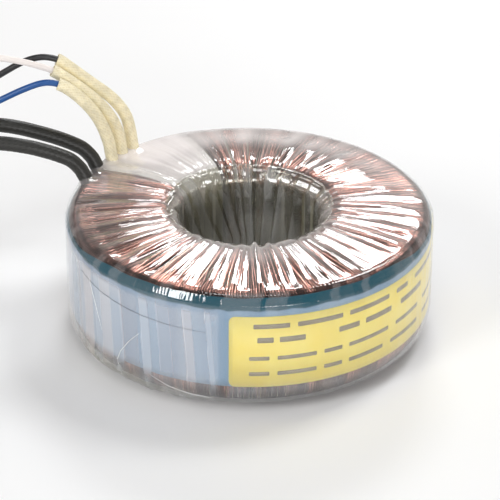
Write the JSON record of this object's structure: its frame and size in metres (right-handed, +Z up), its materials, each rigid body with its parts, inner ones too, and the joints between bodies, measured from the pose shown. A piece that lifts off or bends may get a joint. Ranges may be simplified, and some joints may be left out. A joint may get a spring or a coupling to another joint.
{
  "type": "toroidal transformer",
  "caption": "Ring-shaped mains transformer under a pleated clear film wrap, with a centre hole for its clamp bolt and sleeved flying leads.",
  "frame": {"origin": "middle of the underside, on the axis of the ring", "axes": "+Z up along the ring's axis; the leads leave towards -X"},
  "size_m": [0.2052, 0.1108, 0.0622],
  "materials": {
    "core_steel": "satin, edge of wound strip",
    "core_tape": "satin polyester tape",
    "primary_copper": "enamelled copper wire",
    "barrier_tape": "satin polyester tape",
    "secondary_copper": "enamelled copper wire",
    "pad_film": "milky insulating film",
    "band_blue": "gloss polyester tape",
    "label_paper": "coated paper",
    "clear_film": "clear polyester film",
    "yellow_braid": "varnished glass braid",
    "solder": "solder",
    "white_pvc": "PVC insulation",
    "black_pvc": "PVC insulation",
    "blue_pvc": "PVC insulation",
    "black_braid": "varnished glass braid",
    "tinned_wire": "tinned copper"
  },
  "bodies": {
    "root": {"steel_core": "core_steel", "core_tape": "core_tape", "primary_winding": "primary_copper", "barrier_tape": "barrier_tape", "secondary_winding": "secondary_copper", "lead_pad": "pad_film", "blue_band": "band_blue", "label": "label_paper", "clear_wrap": "clear_film", "white_sleeve": "yellow_braid", "black_sleeve": "yellow_braid", "blue_sleeve": "yellow_braid", "white_splice": "solder", "black_splice": "solder", "blue_splice": "solder", "white_lead": "white_pvc", "black_lead": "black_pvc", "blue_lead": "blue_pvc", "white_lead_end": "tinned_wire", "black_lead_end": "tinned_wire", "blue_lead_end": "tinned_wire", "secondary_start": "black_braid", "secondary_finish": "black_braid", "secondary_start_end": "tinned_wire", "secondary_finish_end": "tinned_wire"}
  },
  "joints": []
}
